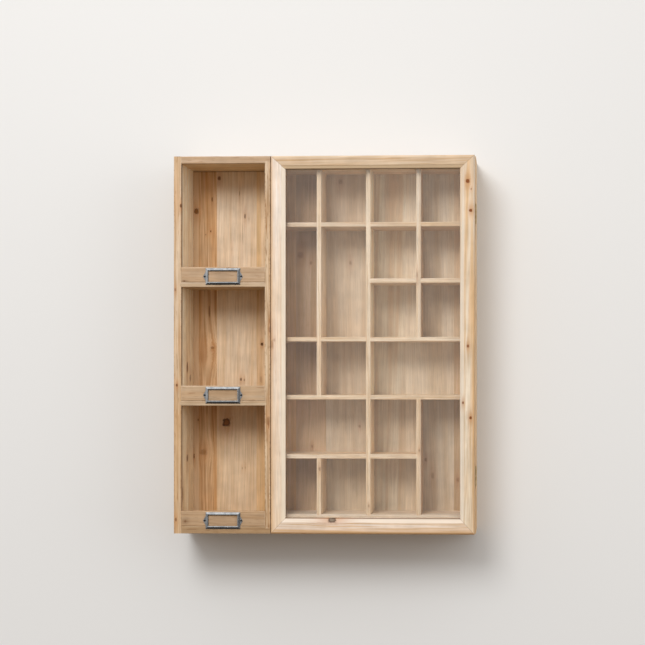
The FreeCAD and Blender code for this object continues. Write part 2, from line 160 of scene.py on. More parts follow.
def makeFirGrain(s):
    # year rings round a pith, wandering along the board; grain runs along the point's Z
    tree, add, given = newGroup("firGrain", "ShaderNodeTree", {
        "Point": "Vector", "Pith": "Vector", "Ring Width": "Float", "Contrast": "Float",
        "Warmth": "Float", "Slits": "Float", "Pale": "Color", "Late": "Color", "Warm": "Color",
    }, {"Color": "Color", "Height": "Float"})

    def grainNoise(patch, detail):
        # noise drawn out along the grain
        across, along = (1 / (size * mm) for size in s[patch])
        drawn = add(vectorMath, "MULTIPLY", {0: given["Point"], 1: (across, across, along)})
        return add(noiseTexture, links={"Vector": drawn, "Scale": 1.0, "Detail": detail})

    def grainPatch(patch, detail, reach):
        # how much that noise counts, from none of it to all of it
        return add(mapRange, smooth, {
            "Value": grainNoise(patch, detail), "From": s[patch + "Range"], **reach})

    wander = add(vectorMath, "SUBTRACT",
                 {0: grainNoise("warp", 2.0).outputs["Color"], 1: (0.5, 0.5, 0.5)})
    shift = add(vectorMath, "SCALE", {"Vector": wander, "Scale": s["warpReach"] * mm})
    moved = add(vectorMath, "ADD", {0: given["Point"], 1: shift})
    fromPith = add(vectorMath, "SUBTRACT", {0: moved, 1: given["Pith"]})
    flat = add(vectorMath, "MULTIPLY", {0: fromPith, 1: (1, 1, 0)})
    radius = add(vectorMath, "LENGTH", {0: flat})
    ring = add(plainMath, "DIVIDE", {0: radius, 1: given["Ring Width"]})
    phase = add(plainMath, "FRACT", {0: ring})
    number = add(plainMath, "FLOOR", {0: ring})
    strength = add("ShaderNodeTexWhiteNoise", {"noise_dimensions": "1D"}, {"W": number})
    # late wood darkens slowly outwards and stops short at the next ring
    rise, drop = [add(mapRange, smooth, {"Value": phase, "From": ends})
                  for ends in ((s["lateStart"], s["latePeak"]), (s["latePeak"], 1.0))]
    late = add(plainMath, "SUBTRACT", {0: rise, 1: drop})
    uneven = add(mapRange, links={"Value": strength, "To Min": s["weakest"]})
    ringLines = add(plainMath, "MULTIPLY", {0: late, 1: uneven})
    # the lines come and go along the board, and streaks run between them
    fading = grainPatch("fade", 1.5, {"To Min": s["weakest"]})
    lines = add(plainMath, "MULTIPLY", {0: ringLines, 1: fading})
    mixed = add(plainMath, "ADD", {0: lines, 1: grainPatch("streak", 2.0, {})})
    toned = add(plainMath, "MULTIPLY", {0: mixed, 1: given["Contrast"]})
    warmth = add(plainMath, "MULTIPLY", {0: grainPatch("band", 1.5, {}), 1: given["Warmth"]})
    base = add(mixNode, ofColour, {"Factor": warmth, "A": given["Pale"], "B": given["Warm"]})
    ringed = add(mixNode, ofColour, {"Factor": toned, "A": base, "B": given["Late"]})
    # short dark slits where the plane tore the fibres
    slit = grainPatch("slit", 1.0, {"To Max": given["Slits"]})
    torn = add(vectorMath, "MULTIPLY", {0: given["Late"], 1: s["slitTint"]})
    slitted = add(mixNode, ofColour, {"Factor": slit, "A": ringed, "B": torn})
    fibre = grainNoise("fibre", 2.0)
    cloud = add(noiseTexture,
                links={"Vector": given["Point"], "Scale": 1 / (s["blotch"] * mm), "Detail": 3.0})
    shades = add(plainMath, "ADD", {0: fibre, 1: cloud})
    light = add(mapRange, links={"Value": shades, "From": s["shadeRange"], "To": s["shade"]})
    lit = add(vectorMath, "SCALE", {"Vector": slitted, "Scale": light})
    height = add(plainMath, "ADD", {0: lines, 1: fibre})
    add(groupOut, links={"Color": lit, "Height": height})
    return tree


# A branch through a board. Lengths in radii of the knot unless in mm.
knotForm = {
    "ragged": 1.5,  # how far the outline wanders
    "raggedScale": 1.3,
    "rim": (1.5, 0.75),  # where the dark rim sets in, and where it is full
    "heart": (0.92, 0.48),  # the same for the paler heart
    "heartRadius": (1.5, 3.5),  # mm of a knot with no heart, and of one with a whole heart
    "firm": (0.35, 0.9),  # strength of a mere stain, and of a whole knot
    "haloShape": (0.5, 0.5, 0.2),  # the stain reaches furthest along the grain
    "haloShare": 0.6,
    "pull": 0.7,
}


def makeKnotField(s):
    # the grain parts round the knot, its rim is dark and its heart paler; a weak one is only a stain
    tree, add, given = newGroup("knotField", "ShaderNodeTree", {
        "Point": "Vector", "Centre": "Vector", "Size": "Vector", "Rim": "Float", "Heart": "Float",
        "Halo": "Float", "Strength": "Float", "Heart Share": "Float",
    }, {"Point": "Vector", "Rim": "Float", "Heart": "Float", "Halo": "Float"})
    away = add(vectorMath, "SUBTRACT", {0: given["Point"], 1: given["Centre"]})
    unit = add(vectorMath, "DIVIDE", {0: away, 1: given["Size"]})
    rough = add(noiseTexture, links={"Vector": unit, "Scale": s["raggedScale"], "Detail": 2.0})
    swing = s["ragged"]
    bent = add(vectorMath, "MULTIPLY_ADD", {0: rough.outputs["Color"], 1: (swing, 0.0, swing), 2: unit})
    ragged = add(vectorMath, "SUBTRACT", {0: bent, 1: (swing / 2, 0.0, swing / 2)})
    reach = add(vectorMath, "LENGTH", {0: ragged})
    firm = add(mapRange, links={"Value": given["Strength"], "From": s["firm"]})
    rim, core = [add(mapRange, smooth, {"Value": reach, "From": s[zone], "To Max": firm})
                 for zone in ("rim", "heart")]
    heart = add(plainMath, "MULTIPLY", {0: core, 1: given["Heart Share"]})
    wide = add(vectorMath, "MULTIPLY", {0: ragged, 1: s["haloShape"]})
    spread = add(vectorMath, "DOT_PRODUCT", {0: wide, 1: wide})
    falling = add(plainMath, "MULTIPLY", {0: spread, 1: -1.0})
    halo = add(plainMath, "EXPONENT", {0: falling})
    stain = add(plainMath, "MULTIPLY", {0: halo, 1: given["Strength"]})
    pull = add(vectorMath, "MULTIPLY", {0: away, 1: (-s["pull"], -s["pull"], 0.0)})
    part = add(vectorMath, "SCALE", {"Vector": pull, "Scale": halo})
    point = add(vectorMath, "ADD", {0: given["Point"], 1: part})
    result = {"Point": point}
    for label, own in (("Rim", rim), ("Heart", heart), ("Halo", stain)):
        result[label] = add(plainMath, "MAXIMUM", {0: own, 1: given[label]})
    add(groupOut, links=result)
    return tree


def makeBoardEdge():
    # 1 along the twelve edges of a board's box and 0 a little way in, from the second nearest face
    tree, add, given = newGroup("boardEdge", "ShaderNodeTree", {
        "Point": "Vector", "Middle": "Vector", "Half": "Vector", "Width": "Float"}, {"Edge": "Float"})
    away = add(vectorMath, "SUBTRACT", {0: given["Point"], 1: given["Middle"]})
    side = add(vectorMath, "ABSOLUTE", {0: away})
    depth = add(vectorMath, "SUBTRACT", {0: given["Half"], 1: side})
    axes = add(splitAxes, links={"Vector": depth}).outputs
    lowXY = add(plainMath, "MINIMUM", {0: axes["X"], 1: axes["Y"]})
    highXY = add(plainMath, "MAXIMUM", {0: axes["X"], 1: axes["Y"]})
    belowTop = add(plainMath, "MINIMUM", {0: highXY, 1: axes["Z"]})
    second = add(plainMath, "MAXIMUM", {0: lowXY, 1: belowTop})
    edge = add(mapRange, smooth, {"Value": second, "From": (given["Width"], 0.0)})
    add(groupOut, links={"Edge": edge})
    return tree


grainGroup = makeFirGrain(firGrain)
knotGroup = makeKnotField(knotForm)
edgeGroup = makeBoardEdge()

# what all boards share unless their own entry says otherwise; lengths in mm
oiledFir = {
    "grain": "z",
    "pale": "#d8b892",
    "late": "#b98f62",
    "warm": "#cb9d69",
    "warmth": 0.5,
    "contrast": 0.42,
    "ringWidth": 3.6,
    "pith": (70.0, 46.0),
    "tilt": 0.8,
    "knots": (),
    "knotDepth": 400.0,
    "slits": 0.5,
    "knotRim": "#5e3312",
    "knotHeart": "#8c5a2a",
    "knotStain": "#b07034",
    # painted light on faces that don't look forward
    "insideLightTone": "#84a0aa",
    "insideLightShare": 0.0,
    "insideWay": None,
    "faceTurn": (0.5, 0.8),  # how squarely a face looks some way, to count at all and fully
    # painted light on undersides
    "undersideLightTone": None,
    # painted light: colour gains at the bottom and the top of the cabinet, set board by board
    "paintedLightLow": (0.97, 0.95, 0.92),
    "paintedLightHigh": (1.02, 1.06, 1.13),
    "bevelWay": None,
    # painted light on the bevel of a door member
    "bevelTone": "#fdf4e6",
    "bevelShare": 0.5,
    "bevelTurn": (0.1, 0.35),
    "roundTone": "#b98d5c",
    "roundShare": 0.0,
    "outerTone": "#c79c6c",
    "outerShare": 0.0,
    "outerWidth": 10.0,
    # dark tone of painted shade, of mitre lines and of the band along the front of inner faces
    "grimeTone": "#6d4a2a",
    # painted shadow along the glass of a door member
    "glassShadeWidth": 1.0,
    "grimeShare": 0.2,
    "glassShadeFull": 0.3,  # share of its width left where it is darkest
    # a darker band along the front of the brightened inner faces
    "frontDarkening": 0.0,
    "frontDarkeningDepths": (13.0, 4.0),
    # painted shade under the top board
    "topShade": 0.0,
    "topShadeShare": 0.8,
    "mitres": (),
    "mitreLine": (0.45, 0.15),
    "mitreShare": 0.5,
    "strip": None,
    "stripBlur": 0.4,
    # pale arrises, partly wear and partly painted highlight
    "wornAndLitEdge": "#ecd6ba",
    "edgeWidth": 1.6,
    "edgeWearAndLight": 0.35,
    "rubSize": 16.667,
    "rubRange": (0.35, 0.65),
    "chipTone": "#8b6641",
    "chips": 0.0,
    "chipSize": 5.263,
    "chipRange": (0.54, 0.62),
    # dark lower edge of front faces: glue line under a lip, painted shade under other boards
    "seamAndShadeTone": "#7c5733",
    "seamAndShadeWidth": 0.0,
    "seamShare": 0.8,
    "seamTurn": (-0.2, -0.5),
    "endTone": "#b08a61",
    "endShare": 0.5,
    "endTurn": (0.8, 0.97),
    "glossRange": (0.3, 1.3),
    "roughness": (0.56, 0.74),
    "bumpHeight": 0.09,
    "bumpStrength": 0.6,
    "ior": 1.45,
    "specular": 0.35,
    "seedStep": (0.173, 0.311, 0.457),  # m from board to board in the grain, so that none repeats
}
caseCorner = Vector((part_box("left_side")[0].x, 0.0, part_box("left_side")[0].z))


def firBoard(name, seed, own):
    # one board of oiled fir: rings, knots, painted light on inner faces and undersides, worn arrises
    # with painted highlights, painted shade, glue seam and end grain
    s = {**oiledFir, **own}
    low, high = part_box(name)
    lean = s["tilt"] * (1 if seed % 2 else -1)
    lay = -90.0 if s["grain"] == "x" else 0.0
    rotation = Euler((math.radians(lean), math.radians(lay + lean), 0.0))
    turned = rotation.to_matrix()
    offset = Vector([seed * step for step in s["seedStep"]])
    centre = turned @ ((low + high) / 2) + offset
    pith = centre + Vector((s["pith"][0] * mm, s["pith"][1] * mm, 0.0))

    material, add = newMaterial("oiledFir." + name)
    spot = add("ShaderNodeTexCoord").outputs
    laid = add("ShaderNodeMapping", links={
        "Vector": spot["Object"], "Location": offset, "Rotation": rotation})
    knotted = {"Point": laid, "Rim": 0.0, "Heart": 0.0, "Halo": 0.0}
    heartless, hearty = knotForm["heartRadius"]
    for x, z, radius, stretch, strength, *inward in s["knots"]:
        place = caseCorner + Vector((x * mm, low.y + sum(inward) * mm, z * mm))
        size = Vector((radius, s["knotDepth"], radius * stretch)) * mm
        heartShare = min(1.0, max(0.0, (radius - heartless) / (hearty - heartless)))
        field = add("ShaderNodeGroup", {"node_tree": knotGroup}, {
            "Centre": turned @ place + offset, "Size": size, "Strength": strength,
            "Heart Share": heartShare, **knotted})
        knotted = {socket.name: socket for socket in field.outputs}
    wood = add("ShaderNodeGroup", {"node_tree": grainGroup}, {
        "Point": knotted["Point"], "Pith": pith, "Ring Width": s["ringWidth"] * mm,
        "Contrast": s["contrast"], "Warmth": s["warmth"], "Slits": s["slits"],
        "Pale": linear(s["pale"]), "Late": linear(s["late"]), "Warm": linear(s["warm"])})
    # painted light: the cabinet is paler and cooler towards the top, warmer towards the bottom
    axes = add(splitAxes, links={"Vector": spot["Object"]}).outputs
    fade = add(mapRange, {"data_type": "FLOAT_VECTOR"}, {
        "Vector": axes["Z"], "From": [(corner.z,) * 3 for corner in cadBox],
        "To": (s["paintedLightLow"], s["paintedLightHigh"])})
    colour = add(vectorMath, "MULTIPLY", {0: wood.outputs["Color"], 1: fade})

    def cover(mask, tone, blend="MIX"):
        # lays a tone over the wood so far, as much as the mask says
        nonlocal colour
        colour = add(mixNode, {**ofColour, "blend_type": blend},
                     {"Factor": mask, "A": colour, "B": linear(tone)})

    facing = add(splitAxes, links={"Vector": spot["Normal"]}).outputs
    if s["insideLightShare"]:
        # painted light: faces that don't look forward are brightened, or only the inward one
        inward = add(vectorMath, "DOT_PRODUCT",
                     {0: spot["Normal"], 1: s["insideWay"] or (0, 1, 0)})
        start, full = s["faceTurn"]
        insideLight = add(mapRange, links={
            "Value": inward, "From": (start, full) if s["insideWay"] else (-full, -start),
            "To Max": s["insideLightShare"]})
        cover(insideLight, s["insideLightTone"], "DODGE")
        # a darker band along the front of those brightened faces
        if s["frontDarkening"]:
            ends = [low.y + depth * mm for depth in s["frontDarkeningDepths"]]
            frontmost = add(mapRange, links={
                "Value": axes["Y"], "From": ends, "To Max": s["frontDarkening"]})
            cover(add(plainMath, "MULTIPLY", {0: insideLight, 1: frontmost}), s["grimeTone"])
    if s["undersideLightTone"]:
        # painted light: an underside is brightened
        under = add(mapRange, links={"Value": facing["Z"], "From": [-turn for turn in s["faceTurn"]]})
        cover(under, s["undersideLightTone"], "DODGE")
    if s["bevelWay"]:
        # painted light: on a door member the bevel towards the glass is brightened; the outer
        # round-over is darker and warmer
        slope, across = [add(vectorMath, "DOT_PRODUCT", {0: spot[kind], 1: s["bevelWay"]})
                         for kind in ("Normal", "Object")]
        for part, way in (("bevel", 1), ("round", -1)):
            sloped = add(mapRange, links={
                "Value": slope, "From": [way * turn for turn in s["bevelTurn"]],
                "To Max": s[part + "Share"]})
            cover(sloped, s[part + "Tone"])
        # stains come in from the outer edge, and painted shadow lies along the glass
        outer, inner = sorted(corner.dot(Vector(s["bevelWay"])) for corner in (low, high))
        grime = s["glassShadeWidth"] * mm
        for part, ends in (("outer", (outer + s["outerWidth"] * mm, outer)),
                           ("grime", (inner - grime, inner - s["glassShadeFull"] * grime))):
            soiled = add(mapRange, smooth, {"Value": across, "From": ends, "To Max": s[part + "Share"]})
            cover(soiled, s[part + "Tone"])
    for corner, normal in s["mitres"]:
        # the thin open line of a mitre
        away = add(vectorMath, "SUBTRACT", {0: spot["Object"], 1: corner})
        aside = add(vectorMath, "DOT_PRODUCT", {0: away, 1: normal})
        gap = add(plainMath, "ABSOLUTE", {0: aside})
        line = add(mapRange, links={
            "Value": gap, "From": [width * mm for width in s["mitreLine"]], "To Max": s["mitreShare"]})
        cover(line, s["grimeTone"])
    if s["strip"]:
        # a narrow strip of other wood along the left edge
        stripEnd, tone, share = s["strip"]
        ends = [caseCorner.x + (stripEnd + way * s["stripBlur"]) * mm for way in (1, -1)]
        beside = add(mapRange, links={"Value": axes["X"], "From": ends, "To Max": share})
        cover(beside, tone)
    if s["topShade"]:
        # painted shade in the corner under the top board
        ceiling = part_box("top_board")[0].z
        underTopShade = add(mapRange, links={
            "Value": axes["Z"], "From": (ceiling - s["topShade"] * mm, ceiling),
            "To Max": s["topShadeShare"]})
        cover(underTopShade, s["grimeTone"])
    if s["knots"]:
        stain = add(plainMath, "MULTIPLY", {0: knotted["Halo"], 1: knotForm["haloShare"]})
        cover(stain, s["knotStain"])
        cover(knotted["Rim"], s["knotRim"])
        cover(knotted["Heart"], s["knotHeart"])
    # pale arrises: partly wear, partly a painted highlight where an arris catches the light
    edge = add("ShaderNodeGroup", {"node_tree": edgeGroup}, {
        "Point": spot["Object"], "Middle": (low + high) / 2, "Half": (high - low) / 2,
        "Width": s["edgeWidth"] * mm})
    rubbing = add(noiseTexture, links={
        "Vector": spot["Object"], "Scale": 1 / (s["rubSize"] * mm), "Detail": 2.0})
    wornAndLit = add(mapRange, links={"Value": rubbing, "From": s["rubRange"], "To Max": s["edgeWearAndLight"]})
    cover(add(plainMath, "MULTIPLY", {0: edge, 1: wornAndLit}), s["wornAndLitEdge"])
    if s["chips"]:
        # small splinters broken out along the arrises
        nick = add(noiseTexture, links={
            "Vector": spot["Object"], "Scale": 1 / (s["chipSize"] * mm), "Detail": 1.0})
        broken = add(mapRange, links={"Value": nick, "From": s["chipRange"], "To Max": s["chips"]})
        cover(add(plainMath, "MULTIPLY", {0: edge, 1: broken}), s["chipTone"])
    if s["seamAndShadeWidth"]:
        # a dark band along the lower edge of the front face: the glue line where a lip sits on its
        # shelf, and painted shade under the lower arris of the other boards
        seamAndShade = add(mapRange, links={
            "Value": axes["Z"], "From": (low.z + s["seamAndShadeWidth"] * mm, low.z),
            "To Max": s["seamShare"]})
        forward = add(mapRange, links={"Value": facing["Y"], "From": s["seamTurn"]})
        cover(add(plainMath, "MULTIPLY", {0: seamAndShade, 1: forward}), s["seamAndShadeTone"])
    # cut ends drink more oil and stay darker
    cut = add(plainMath, "ABSOLUTE", {0: facing["X" if s["grain"] == "x" else "Z"]})
    sawn = add(mapRange, links={"Value": cut, "From": s["endTurn"], "To Max": s["endShare"]})
    cover(sawn, s["endTone"])

    gloss = add(mapRange, links={
        "Value": wood.outputs["Height"], "From": s["glossRange"], "To": s["roughness"]})
    relief = add("ShaderNodeBump", links={
        "Strength": s["bumpStrength"], "Distance": s["bumpHeight"] * mm,
        "Height": wood.outputs["Height"]})
    shader = add(principled, links={
        "Base Color": colour, "Roughness": gloss, "Normal": relief,
        "IOR": s["ior"], "Specular IOR Level": s["specular"]})
    add(surfaceOut, links={"Surface": shader})
    dress(name, material)


# Case boards. A knot is mm from the left, mm up, radius, length over width, strength,
# and mm in from the front.
columnShelf = {"grain": "x", "undersideLightTone": "#5e5a3e", "seamAndShadeWidth": 1.2}
columnLip = {"grain": "x", "seamAndShadeWidth": 1.0, "knotStain": "#4c2e13"}
caseBoards = {
    "left_side": {
        "pale": "#d2b797", "late": "#b0875a", "warm": "#c69d6d", "contrast": 0.62, "insideLightShare": 1.0,
        "insideLightTone": "#a4b8c4", "insideWay": (1, 0, 0), "knotDepth": 5.0, "chips": 0.7,
        "edgeWearAndLight": 0.15, "frontDarkening": 0.8, "paintedLightHigh": (1.04, 1.11, 1.24),
        "knots": (
            (5, 244, 1.6, 1.3, 0.8), (11.9, 539, 1.8, 1.5, 0.85), (4, 545, 3.5, 2, 0.35),
            (12.5, 273, 1.3, 6, 0.75, 46), (12.5, 121, 1.3, 4, 0.75, 46), (12.5, 255, 1, 5, 0.6, 70),
            (12.5, 63, 1.2, 9, 0.6, 10), (3.5, 23, 1.4, 2, 0.7), (2.6, 401, 1.4, 1.6, 0.6),
            (9.5, 318, 1.2, 5, 0.4)),
    },
    "right_side": {"pale": "#e9caa2", "late": "#cba275", "warm": "#dbb07a"},
    "partition": {
        "pale": "#d5bd9f", "late": "#a27d56", "warm": "#c29b6c", "contrast": 0.75, "insideLightShare": 0.6,
        "slits": 0.9, "knotDepth": 6.0, "chips": 0.65, "edgeWidth": 2.4,
        "knots": ((156, 185, 2.6, 2.6, 0.6), (158.5, 335, 1.6, 3, 0.6), (152.5, 520, 1.2, 6, 0.4)),
    },
    "top_board": {
        "grain": "x", "pale": "#bea488", "late": "#a3805d", "warm": "#b18b63", "undersideLightTone": "#9ca6a4",
        "seamAndShadeWidth": 0.9,
    },
    "bottom_board": {"grain": "x", "pale": "#ad9170", "late": "#8c6a48", "warm": "#9f7b54"},
    "shelf_upper": {**columnShelf, "pale": "#c2ac92", "late": "#a88a69", "warm": "#b69771"},
    "shelf_lower": {**columnShelf, "pale": "#c0a98c", "late": "#a48360", "warm": "#b39068"},
    "lip_upper": {
        **columnLip, "pale": "#bca082", "late": "#a07d59", "warm": "#ae865c", "pith": (16.0, 60.0),
        "knots": ((17.5, 415, 1.2, 1.3, 0.7), (81.5, 422.5, 4.5, 0.9, 0.35)),
    },
    "lip_middle": {
        **columnLip, "pale": "#bea68a", "late": "#a17f5c", "warm": "#b28c63", "pith": (-20.0, 52.0),
        "contrast": 0.28,
        "knots": ((81.5, 227.5, 4.5, 0.9, 0.35),),
    },
    "lip_lower": {
        **columnLip, "pale": "#b99d7f", "late": "#997753", "warm": "#a88258", "pith": (24.0, 66.0),
        "knots": ((19, 20, 2, 0.6, 0.6), (81.5, 21.5, 4.5, 0.9, 0.35)),
    },
    "hanging_rail": {"grain": "x", "pale": "#d3b592", "late": "#b48c62", "warm": "#c49a6a"},
}
for number, (name, own) in enumerate(caseBoards.items(), start=1):
    firBoard(name, number, own)
print("case boards dressed:", len(caseBoards))

# Back staves, glued up from boards of different colour. Heartwood browner, sapwood paler.
# each stave gets painted shade under the top board
backStave = {"edgeWearAndLight": 0.0, "ringWidth": 3.4, "contrast": 0.2, "slits": 0.2, "topShade": 2.5}
stavePith = (110.0, 50.0)
backStaves = {
    "back_stave_1": {
        "pale": "#debc94", "late": "#b17c48", "warm": "#cc975e", "warmth": 0.7, "contrast": 0.7,
        "ringWidth": 4.2, "strip": (22.1, "#ead0ae", 0.55),
        "knots": (
            (17.9, 540, 3.7, 1.2, 0.8), (45, 560, 1.1, 3.2, 0.75), (42.6, 505.6, 1, 1.5, 0.85),
            (34, 500, 0.8, 1.6, 0.6), (40, 369, 1, 9, 0.75), (45.5, 307, 3, 0.7, 0.6),
            (30, 300, 10, 0.8, 0.35), (29.8, 129, 6.5, 0.7, 0.5), (16, 122, 1.2, 3, 0.85),
            (21, 184, 1.2, 1.6, 0.65)),
    },
    "back_stave_2": {
        "pale": "#e6cdaf", "late": "#c9a67f", "warm": "#d9b58a", "contrast": 0.42, "ringWidth": 4.8,
        "knotRim": "#462910", "knotHeart": "#885524", "paintedLightLow": (0.93, 0.89, 0.82),
        "paintedLightHigh": (1.02, 1.09, 1.2),
        "knots": (
            (70, 180, 5.6, 1.1, 0.9), (68.2, 183.4, 1.9, 0.8, 0.85), (67.8, 175.6, 1.6, 1.4, 0.85),
            (57.1, 596, 2.6, 1.2, 0.75), (101.4, 531, 1.4, 2.6, 0.7), (108, 527, 1.2, 1.6, 0.4),
            (92, 570, 0.6, 6, 0.6), (97, 500, 0.5, 30, 0.5), (94.5, 253, 1.5, 1.6, 0.75),
            (100, 252, 1, 1.8, 0.65), (79, 475, 0.9, 4, 0.4), (96.8, 101.7, 0.9, 2, 0.5),
            (102, 102.5, 0.9, 2, 0.45)),
    },
    "back_stave_3": {
        "pale": "#e7cba8", "late": "#c79c6b", "warm": "#d8b27d", "warmth": 0.7, "contrast": 0.3,
        "knotRim": "#3c2210", "knotStain": "#a0622a", "paintedLightLow": (0.9, 0.8, 0.64),
        "knots": (
            (130.5, 313, 2.2, 1.1, 0.9), (129, 253, 2.2, 2.4, 0.45), (129, 320, 6, 1.6, 0.35),
            (124.5, 330, 2.6, 9, 0.35)),
    },
    "back_stave_4": {
        "pale": "#d0b494", "late": "#a98763", "warm": "#ba9871", "warmth": 0.7,
        "knots": (
            (196.8, 464.7, 4.8, 1.1, 0.5), (213.9, 451, 2.2, 1.3, 0.55), (216.5, 139.3, 1.7, 1.4, 0.55),
            (186, 206, 9, 0.8, 0.34)),
    },
    "back_stave_5": {
        "pale": "#e2d3bb", "late": "#c2aa8a", "warm": "#ceb593", "paintedLightLow": (0.89, 0.89, 0.9),
        "paintedLightHigh": (0.94, 0.92, 0.95),
        "knots": (
            (265, 589, 3.6, 1.2, 0.45), (282, 451, 2.4, 1.4, 0.5), (297.4, 173.3, 1.8, 1.3, 0.55)),
    },
    "back_stave_6": {
        "pale": "#e9dbc2", "late": "#c5a784", "warm": "#d4b58e", "warmth": 0.7,
        "paintedLightLow": (0.86, 0.86, 0.86), "paintedLightHigh": (1.06, 1.11, 1.19),
        "knots": ((354, 570.6, 6.5, 1.6, 0.3), (355.4, 105, 4.2, 1.2, 0.3)),
    },
    "back_stave_7": {
        "pale": "#eadbc3", "late": "#c6ac89", "warm": "#d5bb94", "paintedLightLow": (0.87, 0.84, 0.81),
        "paintedLightHigh": (1.07, 1.12, 1.2),
        "knots": ((409.9, 117, 2, 1.4, 0.55), (421.8, 89.8, 2.5, 2, 0.48)),
    },
    "back_stave_8": {
        "pale": "#e3ccaa", "late": "#bb9b73", "warm": "#cfae86", "paintedLightLow": (0.73, 0.65, 0.56),
        "paintedLightHigh": (1.13, 1.2, 1.34),
        "knots": ((464.4, 83, 2.6, 1.4, 0.5),),
    },
}
for number, (name, own) in enumerate(backStaves.items(), start=31):
    side = 1 if number % 2 else -1
    firBoard(name, number, {**backStave, "pith": (side * stavePith[0], stavePith[1]), **own})
print("back staves dressed:", len(backStaves))

# Door frame and beads, the palest boards of the cabinet.
doorBoard = {"ringWidth": 4.4, "slits": 0.2, "knotRim": "#7a4520", "knotHeart": "#8a5028",
             "wornAndLitEdge": "#f4e6d2"}
doorMembers = {
    "door_stile_left": {
        "pale": "#e8dbcd", "late": "#d3ad83", "warm": "#d9bc99", "warmth": 0.4, "contrast": 0.3,
        "bevelWay": (1, 0, 0), "bevelShare": 0.55, "bevelTone": "#fcefd8", "roundShare": 0.4,
        "roundTone": "#dcb27e", "outerShare": 0.3, "paintedLightLow": (0.96, 0.89, 0.79), "pith": (90.0, 12.0),
        "knots": ((163, 311, 2.6, 2.6, 0.5), (165, 318, 1.6, 1.4, 0.5)),
    },
    "door_stile_right": {
        "pale": "#e2d4bf", "late": "#c6a67e", "warm": "#d2a266", "warmth": 0.75, "contrast": 0.58,
        "pith": (80.0, 20.0), "bevelWay": (-1, 0, 0), "bevelShare": 0.38, "roundShare": 0.1,
        "outerShare": 0.1,
        "knots": (
            (483.6, 577, 3, 1, 0.9), (488.5, 564, 1, 1.4, 0.7), (488.5, 529, 2.6, 0.9, 0.9),
            (484, 308, 1.9, 1.2, 0.8), (475.9, 215.5, 1.6, 1.2, 0.8), (488.3, 191, 2, 1.1, 0.9)),
    },
    "door_rail_top": {
        "grain": "x", "pale": "#ceb597", "late": "#b99670", "warm": "#bf9567", "contrast": 0.7,
        "pith": (70.0, 16.0), "bevelWay": (0, 0, -1), "bevelShare": 0.85, "bevelTone": "#ffe6c2",
        "glassShadeWidth": 1.7, "grimeShare": 0.75,
    },
    "door_rail_bottom": {
        "grain": "x", "pale": "#e9ded4", "late": "#d2b391", "warm": "#ddbc96", "contrast": 0.9,
        "pith": (60.0, 24.0), "bevelWay": (0, 0, 1), "bevelTone": "#dacdbe", "bevelShare": 0.8,
        "roundTone": "#e2b886", "roundShare": 0.7, "outerShare": 0.6, "outerWidth": 14.0,
        "glassShadeWidth": 1.6, "grimeShare": 0.8, "knotHeart": "#7d6d5d", "knotRim": "#3f2614",
        "knots": ((261.5, 22.9, 3.7, 1.6, 0.95),),
    },
}
for side, grain in (("left", "z"), ("right", "z"), ("top", "x"), ("bottom", "x")):
    doorMembers["bead_" + side] = {"grain": grain, "pale": "#e6cfb2", "late": "#d0ad84"}
doorLow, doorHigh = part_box("door_rail_bottom")[0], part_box("door_rail_top")[1]
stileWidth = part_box("door_stile_left")[1].x - doorLow.x
mitreLines = []  # outer corner of the frame, and the direction square to the joint
for rail, z, wayZ in (("bottom", doorLow.z, 1), ("top", doorHigh.z, -1)):
    railLow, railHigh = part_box("door_rail_" + rail)
    for x, wayX in ((doorLow.x, 1), (doorHigh.x, -1)):
        across = Vector((wayZ * (railHigh.z - railLow.z), 0.0, -wayX * stileWidth))
        mitreLines.append((Vector((x, 0.0, z)), across.normalized()))
for number, (name, own) in enumerate(doorMembers.items(), start=51):
    low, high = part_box(name)
    mitres = [(corner, way) for corner, way in mitreLines
              if low.x - mm < corner.x < high.x + mm and low.z - mm < corner.z < high.z + mm]
    firBoard(name, number, {**doorBoard, **own, "mitres": mitres})
print("door frame dressed:", len(doorMembers))

# Thin strips of the grid behind the glass, in three tones by turns.
gridBoard = {
    "warm": "#e2c096", "warmth": 0.5, "ringWidth": 2.2, "contrast": 0.6, "insideLightShare": 0.3,
    "insideLightTone": "#8a8886", "seamAndShadeTone": "#b98f63", "slits": 0.25, "wornAndLitEdge": "#f4e6d0",
    "knotDepth": 8.0,
}
gridShelf = {"grain": "x", "seamAndShadeWidth": 1.2}
gridStrips = {
    "divider_a_upper": {"insideLightShare": 0.12},
    "divider_a_lower": {"insideLightShare": 0.12, "knots": ((238.9, 105.8, 1.9, 1.5, 0.6),)},
    "divider_b": {
        "insideLightShare": 1.0, "insideLightTone": "#929ca4",
        "knots": ((320, 45, 1.1, 1.4, 0.6),),
    },
    "divider_c_upper": {"pale": "#e2cfb7", "knots": ((399.3, 425.7, 1.8, 2.2, 0.55),)},
    "divider_c_lower": {"pale": "#e0cbb2", "knots": ((403.6, 136.5, 1.4, 1.3, 0.6),)},
    "cell_shelf_1": {**gridShelf, "pale": "#ddc6aa"},
    **{"cell_shelf_%d" % row: gridShelf for row in range(2, 6)},
    "grid_top": gridShelf,
    "grid_bottom": {
        "grain": "x", "insideLightShare": 0.15, "pale": "#f2e6d6", "late": "#d6bd9c", "warm": "#e6d2b8",
    },
    "grid_bearer_front": {"grain": "x"},
    "grid_bearer_rear": {"grain": "x"},
}
gridTones = (("#ead7bd", "#cda87a"), ("#e7d2b6", "#c9a272"), ("#eddbc3", "#d3b187"))
for number, (name, own) in enumerate(gridStrips.items(), start=71):
    pale, late = gridTones[number % len(gridTones)]
    firBoard(name, number, {**gridBoard, "pale": pale, "late": late, **own})
print("grid strips dressed:", len(gridStrips))


